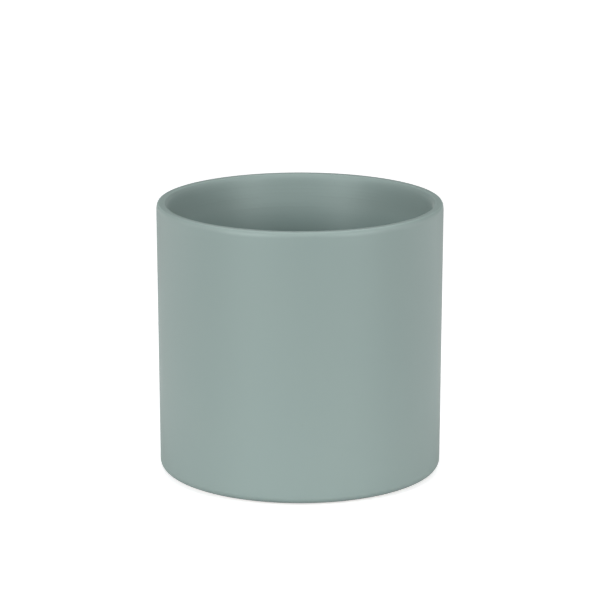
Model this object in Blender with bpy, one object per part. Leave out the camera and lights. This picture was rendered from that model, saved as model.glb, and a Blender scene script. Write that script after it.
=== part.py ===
"""Brush pot: a straight-sided slip-cast ceramic pot that stands on four stick-on felt pads.

Metres, +Z up. The origin lies on the desk, under the middle of the pot, and -Y is the front.
The pot is one fired piece. Nothing on it moves, and only the pads come off.
"""

import math

import bpy
import bmesh

# The pot. Its mould has a slight draft, so the wall leans out a little towards the rim.
RIM_RADIUS = 0.065
WALL_DRAFT = 0.01 * RIM_RADIUS
CERAMIC_HEIGHT = 0.1235
WALL_THICKNESS = 0.0055
FLOOR_THICKNESS = 0.005

# The wall thins towards the rim. Inside, it first leans outwards by the flare, and the rim's rounds are
# quarter ellipses, taller than they are wide. Each of the three is given as (width, height).
RIM_OUTER_ROUND = (0.0012, 0.0031)
RIM_INNER_ROUND = (0.0016, 0.0039)
WELL_FLARE = (0.0007, 0.010)

# Its other rounded corners.
BASE_ROUND = 0.0032
WELL_COVE = 0.007

# The foot ring under the base, and the shallow recess inside it.
FOOT_RING_WIDTH = 0.013
FOOT_RING_ROUND = 0.0008
RECESS_DEPTH = 0.0015

# The felt pads. Each is stuck to the foot ring by a film of adhesive, which fills the gap above it.
# They sit towards the ring's inner edge, so that they don't show under a pot seen from above.
PAD_RADIUS = 0.0045
PAD_THICKNESS = 0.001
PAD_EDGE_BEVEL = 0.0002
PAD_CIRCLE_RADIUS = 0.0538
ADHESIVE_GAP = 0.0003
PAD_ANGLES = {
    "front_left": 225.0,
    "front_right": 315.0,
    "rear_right": 45.0,
    "rear_left": 135.0,
}

# How finely round shapes are divided.
TURN_STEPS = 96
LARGE_ROUND_STEPS = 6
FLARE_STEPS = 5
SMALL_ROUND_STEPS = 4
PAD_SEGMENTS = 32
PAD_BEVEL_SEGMENTS = 2
PAD_SHARP_ANGLE = math.radians(50.0)
AXIS_MERGE_DISTANCE = 0.00005

# Heights and radii that follow from the dimensions above.
FOOT_Z = PAD_THICKNESS + ADHESIVE_GAP
RIM_Z = FOOT_Z + CERAMIC_HEIGHT
RECESS_Z = FOOT_Z + RECESS_DEPTH
WELL_FLOOR_Z = RECESS_Z + FLOOR_THICKNESS
BASE_RADIUS = RIM_RADIUS - WALL_DRAFT
WELL_TOP_RADIUS = RIM_RADIUS - WALL_THICKNESS
WELL_BASE_RADIUS = BASE_RADIUS - WALL_THICKNESS
FOOT_OUTER_RADIUS = BASE_RADIUS - BASE_ROUND
FOOT_INNER_RADIUS = FOOT_OUTER_RADIUS - FOOT_RING_WIDTH


def clear_scene():
    for existing in list(bpy.data.objects):
        bpy.data.objects.remove(existing)


def principled_material(name, colour, roughness):
    """A non-metallic material. The colour is linear red, green and blue."""
    material = bpy.data.materials.new(name)
    material.use_nodes = True
    shader = material.node_tree.nodes["Principled BSDF"]
    shader.inputs["Base Color"].default_value = (*colour, 1.0)
    shader.inputs["Roughness"].default_value = roughness
    shader.inputs["Metallic"].default_value = 0.0
    return material


def add_object(name, mesh, parent):
    added = bpy.data.objects.new(name, mesh)
    bpy.context.scene.collection.objects.link(added)
    added.parent = parent
    return added


def arc(centre, half_sizes, start, end, steps):
    """Points (r, z) along part of an ellipse, both ends included. Angles are in degrees from +r."""
    points = []
    for step in range(steps + 1):
        angle = math.radians(start + (end - start) * step / steps)
        across = half_sizes[0] * math.cos(angle)
        up = half_sizes[1] * math.sin(angle)
        points.append((centre[0] + across, centre[1] + up))
    return points


def round_arc(centre, radius, start, end, steps):
    return arc(centre, (radius, radius), start, end, steps)


def flared(points):
    """Points (r, z) of the well's wall, moved outwards by the flare, which grows with height squared."""
    width, height = WELL_FLARE
    moved = []
    for radius, z in points:
        share = max(0.0, 1.0 - (RIM_Z - z) / height)
        moved.append((radius + width * share * share, z))
    return moved


def flared_wall():
    """The well's wall from where its flare begins up to the rim's inner round."""
    low = RIM_Z - WELL_FLARE[1]
    rise = WELL_FLARE[1] - RIM_INNER_ROUND[1]
    return flared([(WELL_TOP_RADIUS, low + rise * step / FLARE_STEPS) for step in range(FLARE_STEPS)])


def pot_profile():
    """The pot's half section, from the middle of the well over the rim to the middle of the base."""
    cove_centre = (WELL_BASE_RADIUS - WELL_COVE, WELL_FLOOR_Z + WELL_COVE)
    rim_inner_centre = (WELL_TOP_RADIUS + RIM_INNER_ROUND[0], RIM_Z - RIM_INNER_ROUND[1])
    rim_outer_centre = (RIM_RADIUS - RIM_OUTER_ROUND[0], RIM_Z - RIM_OUTER_ROUND[1])
    base_centre = (BASE_RADIUS - BASE_ROUND, FOOT_Z + BASE_ROUND)
    foot_centre = (FOOT_INNER_RADIUS + FOOT_RING_ROUND, FOOT_Z + FOOT_RING_ROUND)
    return [
        (0.0, WELL_FLOOR_Z),
        *round_arc(cove_centre, WELL_COVE, -90.0, 0.0, LARGE_ROUND_STEPS),
        *flared_wall(),
        *flared(arc(rim_inner_centre, RIM_INNER_ROUND, 180.0, 90.0, LARGE_ROUND_STEPS)),
        *arc(rim_outer_centre, RIM_OUTER_ROUND, 90.0, 0.0, LARGE_ROUND_STEPS),
        *round_arc(base_centre, BASE_ROUND, 0.0, -90.0, LARGE_ROUND_STEPS),
        *round_arc(foot_centre, FOOT_RING_ROUND, -90.0, -180.0, SMALL_ROUND_STEPS),
        (FOOT_INNER_RADIUS, RECESS_Z),
        (0.0, RECESS_Z),
    ]


def add_pot_body(parent, glaze):
    """The whole pot as one turned solid."""
    profile = [(radius, 0.0, height) for radius, height in pot_profile()]
    edges = [(index, index + 1) for index in range(len(profile) - 1)]
    mesh = bpy.data.meshes.new("pot_body")
    mesh.from_pydata(profile, edges, [])
    mesh.materials.append(glaze)
    body = add_object("pot_body", mesh, parent)
    turn = body.modifiers.new("turn", "SCREW")
    turn.axis = "Z"
    turn.steps = TURN_STEPS
    turn.render_steps = TURN_STEPS
    turn.use_merge_vertices = True
    turn.merge_threshold = AXIS_MERGE_DISTANCE
    turn.use_smooth_shade = True


def on_rim(edge):
    """Whether an edge lies between a pad's flat end and its side."""
    first, second = edge.link_faces
    return len(first.verts) != len(second.verts)


def felt_pad_mesh(felt):
    """A round pad with its underside on z = 0."""
    builder = bmesh.new()
    bmesh.ops.create_cone(
        builder,
        cap_ends=True,
        segments=PAD_SEGMENTS,
        radius1=PAD_RADIUS,
        radius2=PAD_RADIUS,
        depth=PAD_THICKNESS,
    )
    bmesh.ops.translate(builder, verts=builder.verts, vec=(0.0, 0.0, PAD_THICKNESS / 2))
    bmesh.ops.bevel(
        builder,
        geom=[edge for edge in builder.edges if on_rim(edge)],
        offset=PAD_EDGE_BEVEL,
        segments=PAD_BEVEL_SEGMENTS,
        profile=0.5,
        affect="EDGES",
    )
    mesh = bpy.data.meshes.new("foot_pad")
    builder.to_mesh(mesh)
    builder.free()
    mesh.shade_smooth()
    mesh.set_sharp_from_angle(angle=PAD_SHARP_ANGLE)
    mesh.materials.append(felt)
    return mesh


def add_foot_pads(parent, felt):
    """One pad at each corner of a square, under the foot ring."""
    mesh = felt_pad_mesh(felt)
    for place, angle in PAD_ANGLES.items():
        pad = add_object("foot_pad_" + place, mesh, parent)
        turn = math.radians(angle)
        pad.location = (PAD_CIRCLE_RADIUS * math.cos(turn), PAD_CIRCLE_RADIUS * math.sin(turn), 0.0)
        pad.rotation_euler = (0.0, 0.0, turn)


def main():
    clear_scene()
    glaze = principled_material("sage_matt_glaze", (0.30, 0.375, 0.36), 0.5)
    felt = principled_material("grey_felt", (0.16, 0.155, 0.145), 0.95)
    brush_pot = add_object("brush_pot", None, None)
    add_pot_body(brush_pot, glaze)
    add_foot_pads(brush_pot, felt)


main()
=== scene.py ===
"""Looks for the brush pot: a glazed, slip-cast ceramic pot on four felt pads, in a plain white studio.

Everything is in metres, in the CAD model's frame: the origin is on the desk under the middle of the pot,
+Z is up and -Y is the front. The turned pot mesh and the felt pads stand for the CAD nodes.
"""

import math
import random

import bpy
from mathutils import Matrix, Vector, noise


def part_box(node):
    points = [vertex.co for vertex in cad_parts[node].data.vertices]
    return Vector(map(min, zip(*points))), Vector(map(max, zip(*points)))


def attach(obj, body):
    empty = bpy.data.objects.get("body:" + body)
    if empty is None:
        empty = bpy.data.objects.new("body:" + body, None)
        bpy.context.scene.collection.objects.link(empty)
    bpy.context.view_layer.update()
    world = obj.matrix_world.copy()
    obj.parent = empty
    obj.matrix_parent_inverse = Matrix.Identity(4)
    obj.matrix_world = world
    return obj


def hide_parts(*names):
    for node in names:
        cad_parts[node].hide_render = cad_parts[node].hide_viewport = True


# The pot's section, as in the CAD model. Its outer radius, height and place come from the frame. The
# rim's rounds are quarter ellipses, and below the inner one the wall leans outwards by the flare. Each
# of the three is given as (width, height).
WALL_THICKNESS = 0.0055
WALL_DRAFT_SHARE = 0.01
FLOOR_THICKNESS = 0.005
RIM_OUTER_ROUND = (0.0012, 0.0031)
RIM_INNER_ROUND = (0.0016, 0.0039)
WELL_FLARE = (0.0007, 0.010)
BASE_ROUND = 0.0032
WELL_COVE = 0.007
FOOT_RING_WIDTH = 0.013
FOOT_RING_ROUND = 0.0008
RECESS_DEPTH = 0.0015
RECESS_COVE = 0.001

# How finely the turned pot is divided.
TURN_SEGMENTS = 240
LARGE_ROUND_STEPS = 14
SMALL_ROUND_STEPS = 10
OUTER_WALL_STEPS = 26
RINGED_WALL_STEPS = 130
PLAIN_WALL_STEPS = 18
FLAT_STEPS = 12
RIM_TOP_STEPS = 4
GLAZE_EDGE_STEPS = 8

# Faint rings that the sponge left inside the rim. Pitches and heights vary from ring to ring by these
# shares, and the heights fade downwards. Each ring waxes and wanes about a mean strength on its way
# round, and is left out farther than the reach, in ring widths, from its middle.
MAKER_SEED = 11
RINGED_DEPTH = 0.032
RING_PITCH = 0.0016
RING_PITCH_SHARES = (0.7, 1.3)
RING_HEIGHT = 0.00005
RING_HEIGHT_SHARES = (0.4, 1.0)
RING_FADE = 0.9
RING_WIDTH = 0.00045
RING_REACH = 3.0
RING_SEEDS = (0.0, 100.0)
RING_WANING = 2.5
RING_MEAN_STRENGTH = 0.5

# The body isn't quite round, nor the rim quite level. Each wave is (size, lobes, phase in radians).
# The second one twists with height, in radians to the metre. The rim's fades out within its depth.
OVAL_WAVE = (0.00004, 2.0, 0.7)
TWISTED_WAVE = (0.00002, 3.0, 2.0)
TWIST = 9.0
RIM_WAVE = (0.00003, 2.0, 2.6)
RIM_WAVE_DEPTH = 0.02

# The glaze was wiped off the foot ring before the firing. It stops in a slightly wavy edge on either
# side of the bare clay, by a margin inside the ring's flat. Beside each edge the clay lies back by the
# glaze's thickness, and slopes out to the flat again.
GLAZE_THICKNESS = 0.00012
GLAZE_EDGE_WIDTH = 0.0002
GLAZE_LINE_MARGIN = 0.0011
GLAZE_LINE_WAVER = 0.00025
GLAZE_LINE_WAVES = 3.0
CLAY_SLOPE = 0.0011

# The felt pads, each with a film of adhesive on top. The felt's lumps come from fractal noise, given as
# (roughness, spacing of octaves, octaves), and its flat underside has a share of its side's lumps.
PAD_PLACES = ("front_left", "front_right", "rear_right", "rear_left")
PAD_SEED_STEP = 10.0
PAD_SEGMENTS = 72
PAD_RINGS = 16
PAD_EDGE_ROUND = 0.00022
PAD_EDGE_STEPS = 5
PAD_SIDE_STEPS = 5
FELT_LUMP_SIZE = 0.0007
FELT_LUMP_DEPTH = 0.00007
FELT_LUMP_FRACTAL = (0.8, 2.0, 3)
FELT_FLAT_SHARE = 0.4
FILM_INSET = 0.0002

# The camera: metres from the pot's axis and above its foot, degrees of pitch, and millimetres of lens
# and sensor.
CAMERA_BACK = 1.3258
CAMERA_HEIGHT = 0.4108
CAMERA_PITCH_DOWN = 14.12
CAMERA_LENS = 179.7
CAMERA_SENSOR = 36.0

# The studio. The floor and the surround show white to the camera, as a lit table and backdrop do. Near
# the pot the floor shows as white card, which takes its shadow. Far from the pot it only glows.
WHITE = (1.0, 1.0, 1.0, 1.0)
BLACK = (0.0, 0.0, 0.0, 1.0)
FLOOR_RADIUS = 4.0
FLOOR_SIDES = 96
FLOOR_WHITE = (0.85, 0.85, 0.85, 1.0)
FLOOR_ROUGHNESS = 0.8
FLOOR_SPECULAR = 0.5
FLOOR_NEAR = 0.3
FLOOR_FAR = 1.2
FLOOR_GLOW_NEAR = 0.6
FLOOR_GLOW_FAR = 1.15
SURROUND_GLOW = 1.15
AIM_HEIGHT = 0.06

# How much light the white card on the floor throws back, by distance from the pot. The table beyond it
# is dark, and only the camera sees it as white.
CARD_BOUNCE = (
    (0.15, 0.85),
    (0.20, 0.42),
    (0.45, 0.42),
    (0.52, 0.0),
)

# The glow that only reflections of the card show, by distance from the pot.
CARD_GLARE = (
    (0.08, 0.0),
    (0.13, 0.25),
    (0.20, 0.76),
    (0.34, 0.60),
    (0.60, 0.50),
)

# Each softbox, panel or card: name, azimuth from the front to the right, elevation, distance, width,
# height, watts.
SOFTBOXES = (
    ("left_softbox", -39.5, 17.6, 1.5, 0.75, 0.42, 16.5),
    ("right_softbox", 45.0, 17.0, 1.5, 0.70, 0.42, 13.4),
    ("front_high_softbox", 0.0, 55.0, 1.5, 0.7, 0.4, 2.25),
    ("top_softbox", 0.0, 88.0, 1.5, 0.7, 0.7, 3.8),
    ("top_left_softbox", -90.0, 60.0, 1.5, 0.7, 0.4, 0.9),
    ("top_right_softbox", 90.0, 60.0, 1.5, 0.7, 0.4, 1.35),
    ("back_high_panel", 180.0, 30.0, 1.5, 1.6, 0.3, 1.6),
    ("back_low_panel", 180.0, 8.0, 1.5, 1.0, 0.2, 1.45),
    ("left_panel", -95.0, 3.0, 1.5, 0.5, 0.2, 3.2),
    ("right_panel", 95.0, 3.0, 1.5, 0.5, 0.2, 2.85),
    ("left_back_panel", -145.0, 3.0, 1.5, 0.5, 0.2, 1.45),
    ("right_back_panel", 145.0, 3.0, 1.5, 0.5, 0.2, 0.55),
    ("left_low_card", -112.0, -2.9, 0.5, 0.4, 0.05, 0.12),
    ("right_low_card", 118.0, -2.9, 0.5, 0.35, 0.05, 0.135),
    ("back_fill_panel", 180.0, 0.0, 1.5, 1.6, 0.12, 9.0),
)

# Lights that give light but no glint. This one lights the back for the views from behind.
FILL_LIGHTS = ("back_fill_panel",)

# The glaze's colours. All colours are linear red, green, blue and alpha.
GLAZE_COOL = (0.217, 0.280, 0.269, 1.0)
GLAZE_WARM = (0.225, 0.284, 0.269, 1.0)
# Lighter where the glaze thins by the rim, with a painted highlight on top of it.
GLAZE_THIN_HIGHLIGHT = (0.250, 0.314, 0.299, 1.0)
# Paler on the rim's flat: glaze thinned by rubbing, and a painted highlight in place of the dry rim's
# glint.
GLAZE_RUBBED_HIGHLIGHT = (0.305, 0.386, 0.368, 1.0)
# Darker at the foot: glaze that pools there, and painted shade on the base's round, which turns under
# towards the floor.
GLAZE_POOLED_SHADE = (0.189, 0.245, 0.234, 1.0)
# Painted bounce light: a lighter, greener glaze low in the well, where light gathers inside the pot.
GLAZE_WELL_BOUNCE_LIGHT = (0.222, 0.295, 0.282, 1.0)
GLAZE_SPECK = (0.165, 0.185, 0.165, 1.0)
GLAZE_GLINT = (0.90, 1.0, 0.97, 1.0)

# Where the glaze changes: how far below the rim each change begins and is complete.
THIN_HIGHLIGHT_BELOW_RIM = (0.0022, 0.0)
DRY_BELOW_RIM = (0.0018, 0.0002)
RUBBED_HIGHLIGHT_BELOW_RIM = (0.0005, 0.0001)
DEEP_BOUNCE_BELOW_RIM = (0.012, 0.026)

# The same above the foot, and inwards from the rim's radius. Where a change in height meets the well's
# floor, it keeps this margin from the floor's faces.
# The band at the foot, where the glaze pools and shade is painted.
POOLED_SHADE_ABOVE_FOOT = (0.0035, 0.0004)
WELL_WITHIN_RIM = (0.0032, 0.0042)
FLOOR_MARGIN = 0.001

# The glaze's patterns. The edges of the lighter band by the rim, where the glaze thins and a highlight is
# painted, and of the darker band at the foot, where the glaze pools and shade is painted, ripple by the
# ripple's height.
# The specks come in patches, which fade in as a coarse noise rises from the first edge to the second.
CLOUD_SIZE = 0.045
MOTTLE_SIZE = 0.0011
RIPPLE_SIZE = 0.008
RIPPLE_HEIGHT = 0.0006
SPECK_SPACING = 0.006
SPECK_RADIUS = 0.00028
SPECK_STRENGTH = 0.35
SPECK_PATCH_SIZE = 0.012
SPECK_PATCH_EDGE = (0.56, 0.64)

# The glaze's roughness, that of the dry rim, and what mottle, clouds and a thin coat add.
GLAZE_ROUGHNESS = 0.47
DRY_ROUGHNESS = 0.85
MOTTLE_ROUGHNESS = 0.06
CLOUD_ROUGHNESS = 0.03
THIN_ROUGHNESS = -0.05

# On the well's wall, where fine level lines spread a highlight more up and down than sideways. They are
# a noise whose place is scaled by the run, so that each line runs far round the wall.
LINED_ROUGHNESS = 0.55
LINED_STRETCH = 0.8
QUARTER_TURN = 0.25
LINE_RUN = (0.02, 0.02, 1.0)

# The glaze's relief, as (size, depth): the sponge's lines, the soft waves of a dipped coat, its orange
# peel and its silky grain.
FINE_LINES = (0.00028, 0.000018)
COAT_WAVES = (0.02, 0.00008)
ORANGE_PEEL = (0.0035, 0.000009)
SILKY_GRAIN = (0.0004, 0.0000025)

# The bare clay under the foot. From here on, a roughness is (base, gain), and a pattern's full strength
# adds the gain.
CLAY_PALE = (0.60, 0.52, 0.43, 1.0)
CLAY_TOASTED = (0.50, 0.40, 0.31, 1.0)
CLAY_GROG = (0.26, 0.19, 0.14, 1.0)
TOAST_SIZE = 0.012
GROG_SPACING = 0.0013
GROG_RADIUS = 0.0002
GROG_STRENGTH = 0.5
CLAY_GRAIN_SIZE = 0.00035
CLAY_GRAIN_DEPTH = 0.00006
CLAY_ROUGHNESS = (0.82, 0.12)

# The felt. Its fibres lie along x and along y. Its colour follows them by this share, and otherwise
# the tufts.
FELT_DARK = (0.105, 0.102, 0.096, 1.0)
FELT_PALE = (0.225, 0.218, 0.204, 1.0)
FIBRE_SIZE = 0.00016
FIBRE_DEPTH = 0.00008
FIBRES_ALONG_X = (0.18, 1.0, 0.5)
FIBRES_ALONG_Y = (1.0, 0.18, 0.5)
FIBRE_CURL = 1.2
TUFT_SIZE = 0.0012
TUFT_DEPTH = 0.00012
FIBRE_SHARE = 0.7
FELT_CONTRAST = (0.3, 0.75)
FELT_ROUGHNESS = (0.88, 0.1)
FELT_SHEEN = 0.35
FELT_SHEEN_ROUGHNESS = 0.5

# The adhesive film on top of each pad.
FILM_YELLOWISH = (0.62, 0.58, 0.48, 1.0)
FILM_MILKY = (0.78, 0.76, 0.68, 1.0)
BUBBLE_SPACING = 0.0005
BUBBLE_RADIUS = 0.00012
BUBBLE_DEPTH = 0.00002
BUBBLE_STRENGTH = 0.5
FILM_SMEAR_SIZE = 0.0008
FILM_ROUGHNESS = (0.25, 0.2)

# Grog, bubbles and specks are dots that are full out to this share of their radius.
DOT_CORE = 0.4


def smooth_step(low, high, value):
    share = min(1.0, max(0.0, (value - low) / (high - low)))
    return share * share * (3.0 - 2.0 * share)


# ---------------------------------------------------------------- mesh code


def arc(centre, half_sizes, start, end, steps):
    """Points (r, z) along part of an ellipse, both ends included. Angles are in degrees from +r."""
    points = []
    for step in range(steps + 1):
        angle = math.radians(start + (end - start) * step / steps)
        across = half_sizes[0] * math.cos(angle)
        up = half_sizes[1] * math.sin(angle)
        points.append((centre[0] + across, centre[1] + up))
    return points


def line(start, end, steps):
    """Points between start and end, both ends left out."""
    points = []
    for step in range(1, steps):
        share = step / steps
        points.append((start[0] + (end[0] - start[0]) * share, start[1] + (end[1] - start[1]) * share))
    return points


class Section:
    """Half a section, drawn point by point. Each point is (r, z) in metres."""

    def __init__(self, start):
        self.points = [start]

    def line_to(self, end, steps):
        self.points.extend(line(self.points[-1], end, steps))
        self.points.append(end)

    def arc_to(self, centre, round_size, start, end, arc_steps, line_steps):
        """A line to the arc's start, and then the arc. Its size is a radius or (width, height)."""
        half_sizes = round_size if isinstance(round_size, tuple) else (round_size, round_size)
        bend = arc(centre, half_sizes, start, end, arc_steps)
        self.line_to(bend[0], line_steps)
        self.points.extend(bend[1:])


def turned_mesh(name, points, shape, segments, slot_of=None):
    """A closed mesh turned about Z from (r, z) points, of which the first and the last lie on the axis.

    shape(r, z, turn) returns where a section point really lies at that angle, as (r, z).
    slot_of(start, end) returns the material slot of the band between two section points.
    """
    rows = points[1:-1]
    vertices = [(0.0, 0.0, points[0][1])]
    for segment in range(segments):
        turn = 2.0 * math.pi * segment / segments
        for radius, height in rows:
            moved_radius, moved_height = shape(radius, height, turn)
            vertices.append((moved_radius * math.cos(turn), moved_radius * math.sin(turn), moved_height))
    vertices.append((0.0, 0.0, points[-1][1]))
    last = len(vertices) - 1
    faces = []
    for segment in range(segments):
        here = 1 + segment * len(rows)
        there = 1 + (segment + 1) % segments * len(rows)
        faces.append((0, here, there))
        for row in range(len(rows) - 1):
            faces.append((here + row, here + row + 1, there + row + 1, there + row))
        faces.append((here + len(rows) - 1, last, there + len(rows) - 1))
    mesh = bpy.data.meshes.new(name)
    mesh.from_pydata(vertices, [], faces)
    mesh.shade_smooth()
    if slot_of:
        bands = [slot_of(start, end) for start, end in zip(points, points[1:])]
        mesh.polygons.foreach_set("material_index", bands * segments)
    mesh.update()
    return mesh


def add_piece(name, mesh, *materials):
    for material in materials:
        mesh.materials.append(material)
    piece = bpy.data.objects.new(name, mesh)
    bpy.context.scene.collection.objects.link(piece)
    return piece


def wave(turn, size, lobes, phase):
    return size * math.cos(lobes * turn + phase)


def on_circle(turn, radius, height):
    """A place on a circle about Z. Noise taken there closes on itself, with more waves the wider it is."""
    return Vector((radius * math.cos(turn), radius * math.sin(turn), height))


class PotShape:
    """The pot's section, from the CAD node's box, and the small unevenness of a real pot."""

    def __init__(self, low, high):
        self.rim_radius = high.x
        self.rim_z = high.z
        self.foot_z = low.z
        self.base_radius = self.rim_radius * (1.0 - WALL_DRAFT_SHARE)
        self.foot_outer = self.base_radius - BASE_ROUND
        self.foot_inner = self.foot_outer - FOOT_RING_WIDTH
        self.recess_z = self.foot_z + RECESS_DEPTH
        self.well_z = self.recess_z + FLOOR_THICKNESS
        self.outer_glaze_line = self.foot_outer - GLAZE_LINE_MARGIN
        self.inner_glaze_line = self.foot_inner + FOOT_RING_ROUND + GLAZE_LINE_MARGIN
        self.rings = self.sponge_rings()

    def sponge_rings(self):
        """(depth below the rim, height, seed of its waning) of each faint ring inside the rim."""
        dice = random.Random(MAKER_SEED)
        rings = []
        depth = RIM_INNER_ROUND[1] + RING_PITCH / 2
        while depth < RINGED_DEPTH:
            faded = 1.0 - RING_FADE * depth / RINGED_DEPTH
            height = RING_HEIGHT * dice.uniform(*RING_HEIGHT_SHARES) * faded
            rings.append((depth, height, dice.uniform(*RING_SEEDS)))
            depth += RING_PITCH * dice.uniform(*RING_PITCH_SHARES)
        return rings

    def points(self):
        """The section from the middle of the well, over the rim, to the middle of the recess."""
        well_top = self.rim_radius - WALL_THICKNESS
        well_base = self.base_radius - WALL_THICKNESS
        cove = (well_base - WELL_COVE, self.well_z + WELL_COVE)
        rim_inner = (well_top + RIM_INNER_ROUND[0], self.rim_z - RIM_INNER_ROUND[1])
        rim_outer = (self.rim_radius - RIM_OUTER_ROUND[0], self.rim_z - RIM_OUTER_ROUND[1])
        base = (self.foot_outer, self.foot_z + BASE_ROUND)
        foot = (self.foot_inner + FOOT_RING_ROUND, self.foot_z + FOOT_RING_ROUND)
        outer, inner = self.outer_glaze_line, self.inner_glaze_line
        section = Section((0.0, self.well_z))
        section.arc_to(cove, WELL_COVE, -90.0, 0.0, LARGE_ROUND_STEPS, FLAT_STEPS)
        section.line_to((well_top, self.rim_z - RINGED_DEPTH), PLAIN_WALL_STEPS)
        section.arc_to(rim_inner, RIM_INNER_ROUND, 180.0, 90.0, SMALL_ROUND_STEPS, RINGED_WALL_STEPS)
        section.points = [self.flared(point) for point in section.points]
        section.arc_to(rim_outer, RIM_OUTER_ROUND, 90.0, 0.0, SMALL_ROUND_STEPS, RIM_TOP_STEPS)
        section.arc_to(base, BASE_ROUND, 0.0, -90.0, LARGE_ROUND_STEPS, OUTER_WALL_STEPS)
        section.line_to((outer, self.foot_z), GLAZE_EDGE_STEPS)
        section.line_to((outer - GLAZE_EDGE_WIDTH, self.foot_z), GLAZE_EDGE_STEPS)
        section.line_to((outer - CLAY_SLOPE, self.foot_z), GLAZE_EDGE_STEPS)
        section.line_to((inner + CLAY_SLOPE, self.foot_z), FLAT_STEPS)
        section.line_to((inner + GLAZE_EDGE_WIDTH, self.foot_z), GLAZE_EDGE_STEPS)
        section.line_to((inner, self.foot_z), GLAZE_EDGE_STEPS)
        section.arc_to(foot, FOOT_RING_ROUND, -90.0, -180.0, SMALL_ROUND_STEPS, GLAZE_EDGE_STEPS)
        section.line_to((self.foot_inner, self.recess_z - RECESS_COVE / 2), RIM_TOP_STEPS)
        section.line_to((self.foot_inner - RECESS_COVE / 2, self.recess_z), RIM_TOP_STEPS)
        section.line_to((0.0, self.recess_z), FLAT_STEPS)
        return section.points

    def flared(self, point):
        """A point of the well's wall, moved outwards by the flare, which grows with height squared."""
        width, height = WELL_FLARE
        share = max(0.0, 1.0 - (self.rim_z - point[1]) / height)
        return point[0] + width * share * share, point[1]

    def shape(self, radius, height, turn):
        """Where a section point really lies at one angle."""
        if height == self.foot_z:
            return self.foot_shape(radius, turn)
        size, lobes, phase = TWISTED_WAVE
        twisted = wave(turn, size, lobes, phase + TWIST * height)
        out_of_round = wave(turn, *OVAL_WAVE) + twisted
        share = smooth_step(self.foot_z, self.rim_z, height)
        moved_radius = radius + out_of_round * share * (radius / self.rim_radius)
        depth = self.rim_z - height
        if radius < self.rim_radius - WALL_THICKNESS / 2 and depth < RINGED_DEPTH:
            moved_radius -= self.ring_relief(depth, turn)
        near_rim = smooth_step(self.rim_z - RIM_WAVE_DEPTH, self.rim_z, height)
        return moved_radius, height + wave(turn, *RIM_WAVE) * near_rim

    def ring_relief(self, depth, turn):
        """How far the sponge's rings stand out of the well's wall at one spot."""
        relief = 0.0
        for ring_depth, ring_height, seed in self.rings:
            offset = (depth - ring_depth) / RING_WIDTH
            if abs(offset) < RING_REACH:
                waning = noise.noise(on_circle(turn, RING_WANING, seed))
                strength = max(0.0, RING_MEAN_STRENGTH + waning)
                relief += ring_height * strength * math.exp(-offset * offset)
        return relief

    def foot_shape(self, radius, turn):
        """The wavy edges of the glaze on the foot ring, and the step from each down to the bare clay."""
        waver = 0.0
        rise = 0.0
        for edge, inward in ((self.outer_glaze_line, 1.0), (self.inner_glaze_line, -1.0)):
            into_clay = (edge - radius) * inward
            near = 1.0 - smooth_step(0.0, CLAY_SLOPE, abs(into_clay))
            waver += GLAZE_LINE_WAVER * near * noise.noise(on_circle(turn, GLAZE_LINE_WAVES, inward))
            step = smooth_step(0.0, GLAZE_EDGE_WIDTH, into_clay)
            slope = 1.0 - smooth_step(GLAZE_EDGE_WIDTH, CLAY_SLOPE, into_clay)
            rise += GLAZE_THICKNESS * step * slope
        return radius + waver, self.foot_z + rise

    def slot_of(self, start, end):
        """Slot 1, bare clay, between the two edges of the glaze. The rest is slot 0."""
        middle = (start[0] + end[0]) / 2
        on_foot = start[1] == self.foot_z and end[1] == self.foot_z
        inner = self.inner_glaze_line + GLAZE_EDGE_WIDTH
        outer = self.outer_glaze_line - GLAZE_EDGE_WIDTH
        return 1 if on_foot and inner < middle < outer else 0


# ---------------------------------------------------------------- materials


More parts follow.
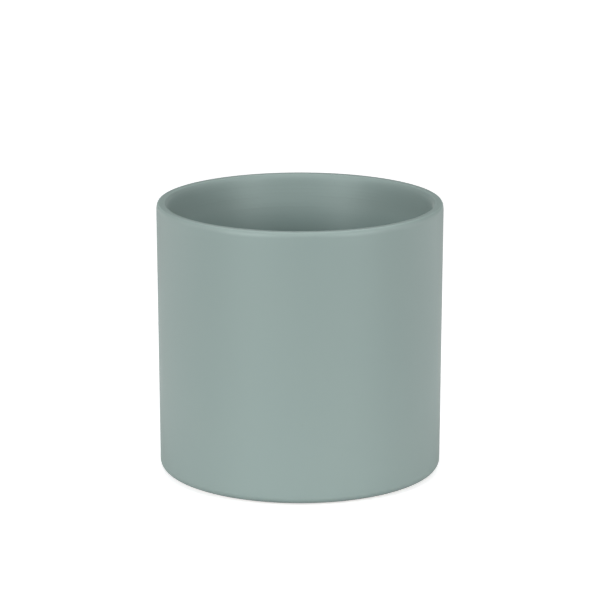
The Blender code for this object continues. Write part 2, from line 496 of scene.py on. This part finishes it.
class Sketch:
    """A material drawn node by node. A value is a number, a colour or another node's output."""

    def __init__(self, name):
        self.material = bpy.data.materials.new(name)
        self.material.use_nodes = True
        self.tree = self.material.node_tree
        self.shader = self.tree.nodes["Principled BSDF"]

    def feed(self, socket, value):
        if isinstance(value, bpy.types.NodeSocket):
            self.tree.links.new(value, socket)
        else:
            socket.default_value = value

    def shade(self, name, value):
        self.feed(self.shader.inputs[name], value)

    def place(self):
        """The point's place in metres."""
        return self.tree.nodes.new("ShaderNodeTexCoord").outputs["Object"]

    def height(self, place):
        node = self.tree.nodes.new("ShaderNodeSeparateXYZ")
        self.feed(node.inputs[0], place)
        return node.outputs["Z"]

    def distance(self, place):
        node = self.tree.nodes.new("ShaderNodeVectorMath")
        node.operation = "LENGTH"
        self.feed(node.inputs[0], place)
        return node.outputs["Value"]

    def radius(self, place):
        """The distance from the pot's axis."""
        return self.distance(self.stretch(place, (1.0, 1.0, 0.0)))

    def stretch(self, place, factors):
        node = self.tree.nodes.new("ShaderNodeVectorMath")
        node.operation = "MULTIPLY"
        self.feed(node.inputs[0], place)
        node.inputs[1].default_value = factors
        return node.outputs["Vector"]

    def around(self):
        """The direction round the pot's axis."""
        node = self.tree.nodes.new("ShaderNodeTangent")
        node.direction_type = "RADIAL"
        node.axis = "Z"
        return node.outputs["Tangent"]

    def sum(self, first, second):
        return self.math("ADD", first, second)

    def times(self, first, second):
        return self.math("MULTIPLY", first, second)

    def rise(self, value, base_and_gain):
        """Base, and gain times value on top of it."""
        base, gain = base_and_gain
        return self.sum(self.times(value, gain), base)

    def math(self, operation, first, second):
        node = self.tree.nodes.new("ShaderNodeMath")
        node.operation = operation
        self.feed(node.inputs[0], first)
        self.feed(node.inputs[1], second)
        return node.outputs[0]

    def noise(self, place, size, detail=2.0, distortion=0.0):
        """Soft noise from 0 to 1, with lumps about size metres across."""
        node = self.tree.nodes.new("ShaderNodeTexNoise")
        self.feed(node.inputs["Vector"], place)
        node.inputs["Scale"].default_value = 1.0 / size
        node.inputs["Detail"].default_value = detail
        node.inputs["Distortion"].default_value = distortion
        return node.outputs["Fac"]

    def dots(self, place, spacing, radius):
        """1 in the middle of sparse, irregular dots, and 0 between them, with soft edges. In metres."""
        node = self.tree.nodes.new("ShaderNodeTexVoronoi")
        self.feed(node.inputs["Vector"], place)
        node.inputs["Scale"].default_value = 1.0 / spacing
        edge = radius / spacing
        return self.remap(node.outputs["Distance"], DOT_CORE * edge, edge, 1.0, 0.0)

    def remap(self, value, low, high, start=0.0, end=1.0):
        """Start at low, end at high, eased between them and held beyond them."""
        node = self.tree.nodes.new("ShaderNodeMapRange")
        node.interpolation_type = "SMOOTHSTEP"
        self.feed(node.inputs["Value"], value)
        self.feed(node.inputs["From Min"], low)
        self.feed(node.inputs["From Max"], high)
        self.feed(node.inputs["To Min"], start)
        self.feed(node.inputs["To Max"], end)
        return node.outputs["Result"]

    def ramp(self, value, stops):
        """Grey by value, from (value, grey) stops and straight between them."""
        node = self.tree.nodes.new("ShaderNodeValToRGB")
        elements = node.color_ramp.elements
        while len(elements) < len(stops):
            elements.new(1.0)
        for element, (position, grey) in zip(elements, stops):
            element.position = position
            element.color = (grey, grey, grey, 1.0)
        self.feed(node.inputs["Fac"], value)
        return node.outputs["Color"]

    def blend(self, share, first, second):
        """A colour between first, at share 0, and second, at share 1."""
        node = self.tree.nodes.new("ShaderNodeMix")
        node.data_type = "RGBA"
        sockets = [socket for socket in node.inputs if socket.type == "RGBA"]
        self.feed(node.inputs["Factor"], share)
        self.feed(sockets[0], first)
        self.feed(sockets[1], second)
        return next(socket for socket in node.outputs if socket.type == "RGBA")

    def bump(self, height, depth, under=None):
        """A normal from height, where 0 to 1 stands for depth metres, on top of the bump under it."""
        node = self.tree.nodes.new("ShaderNodeBump")
        node.inputs["Distance"].default_value = depth
        self.feed(node.inputs["Height"], height)
        if under:
            self.feed(node.inputs["Normal"], under)
        return node.outputs["Normal"]


def below(top, depths):
    """Heights below a height, or radii inside a radius."""
    return [top - depth for depth in depths]


def above(foot, heights):
    return [foot + height for height in heights]


class GlazeZones:
    """Where the glaze differs. Each zone is a node's output, 0 outside the zone and 1 inside it."""

    def __init__(self, sketch, place, pot):
        height = sketch.height(place)
        ripple = sketch.times(sketch.noise(place, RIPPLE_SIZE), RIPPLE_HEIGHT)
        uneven = sketch.sum(height, ripple)
        # The band by the rim: the glaze thins there, and a highlight is painted on it.
        self.thin_highlight = sketch.remap(uneven, *below(pot.rim_z, THIN_HIGHLIGHT_BELOW_RIM))
        # The band at the foot: the glaze pools there, and shade is painted on it.
        self.pooled_shade = sketch.remap(uneven, *above(pot.foot_z, POOLED_SHADE_ABOVE_FOOT))

        # The rim's flat, where rubbing thinned the glaze and a highlight is painted, and the dry glaze on
        # and round it.
        self.rubbed_highlight = sketch.remap(height, *below(pot.rim_z, RUBBED_HIGHLIGHT_BELOW_RIM))
        self.dry = sketch.remap(height, *below(pot.rim_z, DRY_BELOW_RIM))

        # The well, its deeper part, where bounce light is painted into the glaze, and its wall down to the
        # cove, which the sponge lined.
        within = sketch.remap(sketch.radius(place), *below(pot.rim_radius, WELL_WITHIN_RIM))
        over_floor = sketch.remap(height, pot.recess_z + FLOOR_MARGIN, pot.well_z - FLOOR_MARGIN)
        well = sketch.times(within, over_floor)
        self.deep_bounce_light = sketch.times(well, sketch.remap(height, *below(pot.rim_z, DEEP_BOUNCE_BELOW_RIM)))
        over_cove = sketch.remap(height, pot.well_z + FLOOR_MARGIN, pot.well_z + WELL_COVE)
        self.lined = sketch.times(well, over_cove)


def glaze_colour(sketch, place, zones, clouds):
    """Faintly cloudy green; other greens low in the well, on the rim and at the foot, where light and
    shade are painted; and specks.
    """
    colour = sketch.blend(clouds, GLAZE_COOL, GLAZE_WARM)
    # Painted bounce light low in the well.
    colour = sketch.blend(zones.deep_bounce_light, colour, GLAZE_WELL_BOUNCE_LIGHT)
    # Painted highlight on the band by the rim, where the glaze also thins.
    colour = sketch.blend(zones.thin_highlight, colour, GLAZE_THIN_HIGHLIGHT)
    # Painted highlight on the rim's flat, which rubbing also left paler.
    colour = sketch.blend(zones.rubbed_highlight, colour, GLAZE_RUBBED_HIGHLIGHT)
    # Painted shade at the foot, where the glaze also pools.
    colour = sketch.blend(zones.pooled_shade, colour, GLAZE_POOLED_SHADE)

    # Iron specks, fewer than one to a square centimetre, and only faint under the glaze.
    patches = sketch.remap(sketch.noise(place, SPECK_PATCH_SIZE), *SPECK_PATCH_EDGE)
    specks = sketch.times(sketch.dots(place, SPECK_SPACING, SPECK_RADIUS), patches)
    return sketch.blend(sketch.times(specks, SPECK_STRENGTH), colour, GLAZE_SPECK)


def glaze_roughness(sketch, place, zones, clouds):
    """Mottled and cloudy, rougher on the lined wall, smoother where the glaze thins by the rim, and dry on
    the rim.
    """
    mottle = sketch.noise(place, MOTTLE_SIZE)
    roughness = sketch.rise(mottle, (GLAZE_ROUGHNESS - MOTTLE_ROUGHNESS / 2, MOTTLE_ROUGHNESS))
    roughness = sketch.sum(roughness, sketch.times(clouds, CLOUD_ROUGHNESS))
    roughness = sketch.sum(roughness, sketch.times(zones.lined, LINED_ROUGHNESS - GLAZE_ROUGHNESS))
    roughness = sketch.sum(roughness, sketch.times(zones.thin_highlight, THIN_ROUGHNESS))
    return sketch.sum(roughness, sketch.times(zones.dry, DRY_ROUGHNESS - GLAZE_ROUGHNESS))


def glaze_relief(sketch, place, zones):
    """The sponge's lines on the well's wall, and over them the coat's waves, orange peel and grain."""
    size, depth = FINE_LINES
    lines = sketch.noise(sketch.stretch(place, LINE_RUN), size, detail=1.0)
    normal = sketch.bump(sketch.times(lines, zones.lined), depth)
    for (size, depth), detail in ((COAT_WAVES, 1.0), (ORANGE_PEEL, 2.0), (SILKY_GRAIN, 3.0)):
        normal = sketch.bump(sketch.noise(place, size, detail), depth, normal)
    return normal


def glaze_material(pot):
    """Sage satin-matt glaze. On the well's wall each highlight is drawn out upwards and downwards."""
    sketch = Sketch("sage_satin_glaze")
    place = sketch.place()
    zones = GlazeZones(sketch, place, pot)
    clouds = sketch.noise(place, CLOUD_SIZE, detail=3.0)
    sketch.shade("Base Color", glaze_colour(sketch, place, zones, clouds))
    sketch.shade("Specular Tint", GLAZE_GLINT)
    sketch.shade("Roughness", glaze_roughness(sketch, place, zones, clouds))
    sketch.shade("Anisotropic", sketch.times(zones.lined, LINED_STRETCH))
    sketch.shade("Anisotropic Rotation", QUARTER_TURN)
    sketch.shade("Tangent", sketch.around())
    sketch.shade("Normal", glaze_relief(sketch, place, zones))
    return sketch.material


def clay_material():
    """Bare fired clay: pale, dry and sandy, toasted a little in places."""
    sketch = Sketch("bare_stoneware")
    place = sketch.place()
    toast = sketch.noise(place, TOAST_SIZE, detail=3.0)
    colour = sketch.blend(toast, CLAY_PALE, CLAY_TOASTED)
    grog = sketch.times(sketch.dots(place, GROG_SPACING, GROG_RADIUS), GROG_STRENGTH)
    sketch.shade("Base Color", sketch.blend(grog, colour, CLAY_GROG))
    grain = sketch.noise(place, CLAY_GRAIN_SIZE, detail=4.0)
    sketch.shade("Roughness", sketch.rise(grain, CLAY_ROUGHNESS))
    sketch.shade("Normal", sketch.bump(grain, CLAY_GRAIN_DEPTH))
    return sketch.material


def felt_fibres(sketch, place, factors):
    return sketch.noise(sketch.stretch(place, factors), FIBRE_SIZE, detail=3.0, distortion=FIBRE_CURL)


def felt_material():
    """Pressed wool felt: a matted heap of fine fibres in two greys, with a soft sheen."""
    sketch = Sketch("grey_felt")
    place = sketch.place()
    along_y = felt_fibres(sketch, place, FIBRES_ALONG_Y)
    along_x = felt_fibres(sketch, place, FIBRES_ALONG_X)
    fibres = sketch.math("MAXIMUM", along_y, along_x)
    tufts = sketch.noise(place, TUFT_SIZE)
    mixed = sketch.sum(sketch.times(fibres, FIBRE_SHARE), sketch.times(tufts, 1.0 - FIBRE_SHARE))
    sketch.shade("Base Color", sketch.blend(sketch.remap(mixed, *FELT_CONTRAST), FELT_DARK, FELT_PALE))
    sketch.shade("Roughness", sketch.rise(fibres, FELT_ROUGHNESS))
    sketch.shade("Sheen Weight", FELT_SHEEN)
    sketch.shade("Sheen Roughness", FELT_SHEEN_ROUGHNESS)
    sketch.shade("Normal", sketch.bump(fibres, FIBRE_DEPTH, sketch.bump(tufts, TUFT_DEPTH)))
    return sketch.material


def adhesive_material():
    """The pad's film of adhesive: yellowish, milky and slightly glossy, with tiny trapped bubbles."""
    sketch = Sketch("adhesive_film")
    place = sketch.place()
    bubbles = sketch.dots(place, BUBBLE_SPACING, BUBBLE_RADIUS)
    milky = sketch.times(bubbles, BUBBLE_STRENGTH)
    sketch.shade("Base Color", sketch.blend(milky, FILM_YELLOWISH, FILM_MILKY))
    sketch.shade("Roughness", sketch.rise(sketch.noise(place, FILM_SMEAR_SIZE), FILM_ROUGHNESS))
    sketch.shade("Normal", sketch.bump(bubbles, BUBBLE_DEPTH))
    return sketch.material


def floor_material():
    """White card round the pot. The camera sees card and table alike as plain white."""
    sketch = Sketch("white_floor")
    distance = sketch.distance(sketch.place())
    rays = sketch.tree.nodes.new("ShaderNodeLightPath")
    seen = rays.outputs["Is Camera Ray"]
    far = sketch.remap(distance, FLOOR_NEAR, FLOOR_FAR)
    shown = sketch.blend(far, FLOOR_WHITE, BLACK)
    sketch.shade("Base Color", sketch.blend(seen, sketch.ramp(distance, CARD_BOUNCE), shown))
    sketch.shade("Roughness", FLOOR_ROUGHNESS)
    sketch.shade("Specular IOR Level", sketch.remap(seen, 0.0, 1.0, FLOOR_SPECULAR, 0.0))
    glow = sketch.remap(far, 0.0, 1.0, FLOOR_GLOW_NEAR, FLOOR_GLOW_FAR)
    glare = sketch.times(rays.outputs["Is Glossy Ray"], sketch.ramp(distance, CARD_GLARE))
    sketch.shade("Emission Color", WHITE)
    sketch.shade("Emission Strength", sketch.sum(sketch.times(seen, glow), glare))
    return sketch.material


# ---------------------------------------------------------------- pieces


def add_pot():
    low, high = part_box("pot_body")
    pot = PotShape(low, high)
    mesh = turned_mesh("glazed_pot", pot.points(), pot.shape, TURN_SEGMENTS, pot.slot_of)
    piece = add_piece("glazed_pot", mesh, glaze_material(pot), clay_material())
    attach(piece, "root")
    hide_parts("pot_body")


def felt_pad_mesh(name, radius, felt_top, film_top, seed):
    """A felt disc with a lumpy cut edge, on z = 0, and the film of adhesive on top of it."""
    side = radius - PAD_EDGE_ROUND
    section = Section((0.0, 0.0))
    section.arc_to((side, PAD_EDGE_ROUND), PAD_EDGE_ROUND, -90.0, 0.0, PAD_EDGE_STEPS, PAD_RINGS)
    section.arc_to(
        (side, felt_top - PAD_EDGE_ROUND), PAD_EDGE_ROUND, 0.0, 90.0, PAD_EDGE_STEPS, PAD_SIDE_STEPS
    )
    section.line_to((radius - FILM_INSET, felt_top), 1)
    section.line_to((radius - FILM_INSET, film_top), PAD_SIDE_STEPS)
    section.line_to((0.0, film_top), PAD_RINGS)

    def shape(ring_radius, height, turn):
        """Felt gives inwards in lumps. The film and the face under it stay flat."""
        if height >= felt_top:
            return ring_radius, height
        spot = on_circle(turn, ring_radius, height) / FELT_LUMP_SIZE
        lumpy = noise.fractal(spot + Vector((seed, 0.0, 0.0)), *FELT_LUMP_FRACTAL)
        lump = max(0.0, FELT_LUMP_DEPTH * (0.5 + 0.5 * lumpy))
        on_side = smooth_step(side - PAD_EDGE_ROUND, radius, ring_radius)
        return ring_radius - lump * on_side, height + lump * FELT_FLAT_SHARE * (1.0 - on_side)

    def slot_of(start, end):
        return 1 if start[1] >= felt_top and end[1] >= felt_top else 0

    return turned_mesh(name, section.points, shape, PAD_SEGMENTS, slot_of)


def add_felt_pads():
    """A felt pad for each of the CAD model's, with its film reaching up to the foot ring."""
    felt = felt_material()
    adhesive = adhesive_material()
    foot_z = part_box("pot_body")[0].z
    for seed, place in enumerate(PAD_PLACES):
        node = "foot_pad_" + place
        low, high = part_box(node)
        middle = (low + high) / 2
        radius = (high.x - low.x) / 2
        name = "felt_pad_" + place
        mesh = felt_pad_mesh(name, radius, high.z, foot_z, PAD_SEED_STEP * seed)
        mesh.transform(Matrix.Translation((middle.x, middle.y, 0.0)))
        piece = add_piece(name, mesh, felt, adhesive)
        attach(piece, "root")
        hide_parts(node)


def add_floor():
    mesh = bpy.data.meshes.new("floor")
    corners = []
    for side in range(FLOOR_SIDES):
        angle = 2.0 * math.pi * side / FLOOR_SIDES
        corners.append((FLOOR_RADIUS * math.cos(angle), FLOOR_RADIUS * math.sin(angle), 0.0))
    mesh.from_pydata(corners, [], [tuple(range(FLOOR_SIDES))])
    floor = add_piece("floor", mesh, floor_material())


# ---------------------------------------------------------------- studio


def aim(thing, target):
    """Turns a light to look at target."""
    direction = Vector(target) - thing.location
    thing.rotation_mode = "QUATERNION"
    thing.rotation_quaternion = direction.to_track_quat("-Z", "Y")


def add_softbox(name, azimuth, elevation, distance, width, height, power):
    """A rectangular softbox aimed at the pot. Azimuth counts from the front to the right, in degrees."""
    light = bpy.data.lights.new(name, "AREA")
    light.shape = "RECTANGLE"
    light.size = width
    light.size_y = height
    light.energy = power
    box = bpy.data.objects.new(name, light)
    box.visible_camera = False
    box.visible_glossy = name not in FILL_LIGHTS
    bpy.context.scene.collection.objects.link(box)
    turn = math.radians(azimuth)
    rise = math.radians(elevation)
    box.location = (
        distance * math.sin(turn) * math.cos(rise),
        -distance * math.cos(turn) * math.cos(rise),
        AIM_HEIGHT + distance * math.sin(rise),
    )
    aim(box, (0.0, 0.0, AIM_HEIGHT))


def add_lights():
    """Two softboxes in front, one high in front, three overhead, and panels and cards round the pot."""
    for softbox in SOFTBOXES:
        add_softbox(*softbox)


def add_world():
    """A surround that shows white to the camera and gives the pot no light."""
    world = bpy.data.worlds.new("white_studio")
    world.use_nodes = True
    nodes = world.node_tree.nodes
    background = nodes["Background"]
    background.inputs["Color"].default_value = WHITE
    rays = nodes.new("ShaderNodeLightPath")
    glow = nodes.new("ShaderNodeMath")
    glow.operation = "MULTIPLY"
    glow.inputs[1].default_value = SURROUND_GLOW
    world.node_tree.links.new(rays.outputs["Is Camera Ray"], glow.inputs[0])
    world.node_tree.links.new(glow.outputs[0], background.inputs["Strength"])
    bpy.context.scene.world = world


def add_camera(foot_z):
    data = bpy.data.cameras.new("camera")
    data.lens = CAMERA_LENS
    data.sensor_width = CAMERA_SENSOR
    camera = bpy.data.objects.new("camera", data)
    bpy.context.scene.collection.objects.link(camera)
    camera.location = (0.0, -CAMERA_BACK, foot_z + CAMERA_HEIGHT)
    camera.rotation_euler = (math.radians(90.0 - CAMERA_PITCH_DOWN), 0.0, 0.0)
    bpy.context.scene.camera = camera


def set_colours():
    view = bpy.context.scene.view_settings
    view.view_transform = "Standard"
    view.look = "None"


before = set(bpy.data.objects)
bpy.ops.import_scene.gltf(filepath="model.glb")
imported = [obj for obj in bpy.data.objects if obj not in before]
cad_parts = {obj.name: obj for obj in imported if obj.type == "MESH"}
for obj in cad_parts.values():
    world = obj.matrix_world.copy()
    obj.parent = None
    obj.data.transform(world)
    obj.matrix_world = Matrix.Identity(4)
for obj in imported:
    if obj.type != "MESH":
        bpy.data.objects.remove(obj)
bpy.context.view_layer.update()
add_pot()
add_felt_pads()
add_floor()
add_world()
add_lights()
add_camera(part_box("pot_body")[0].z)
set_colours()
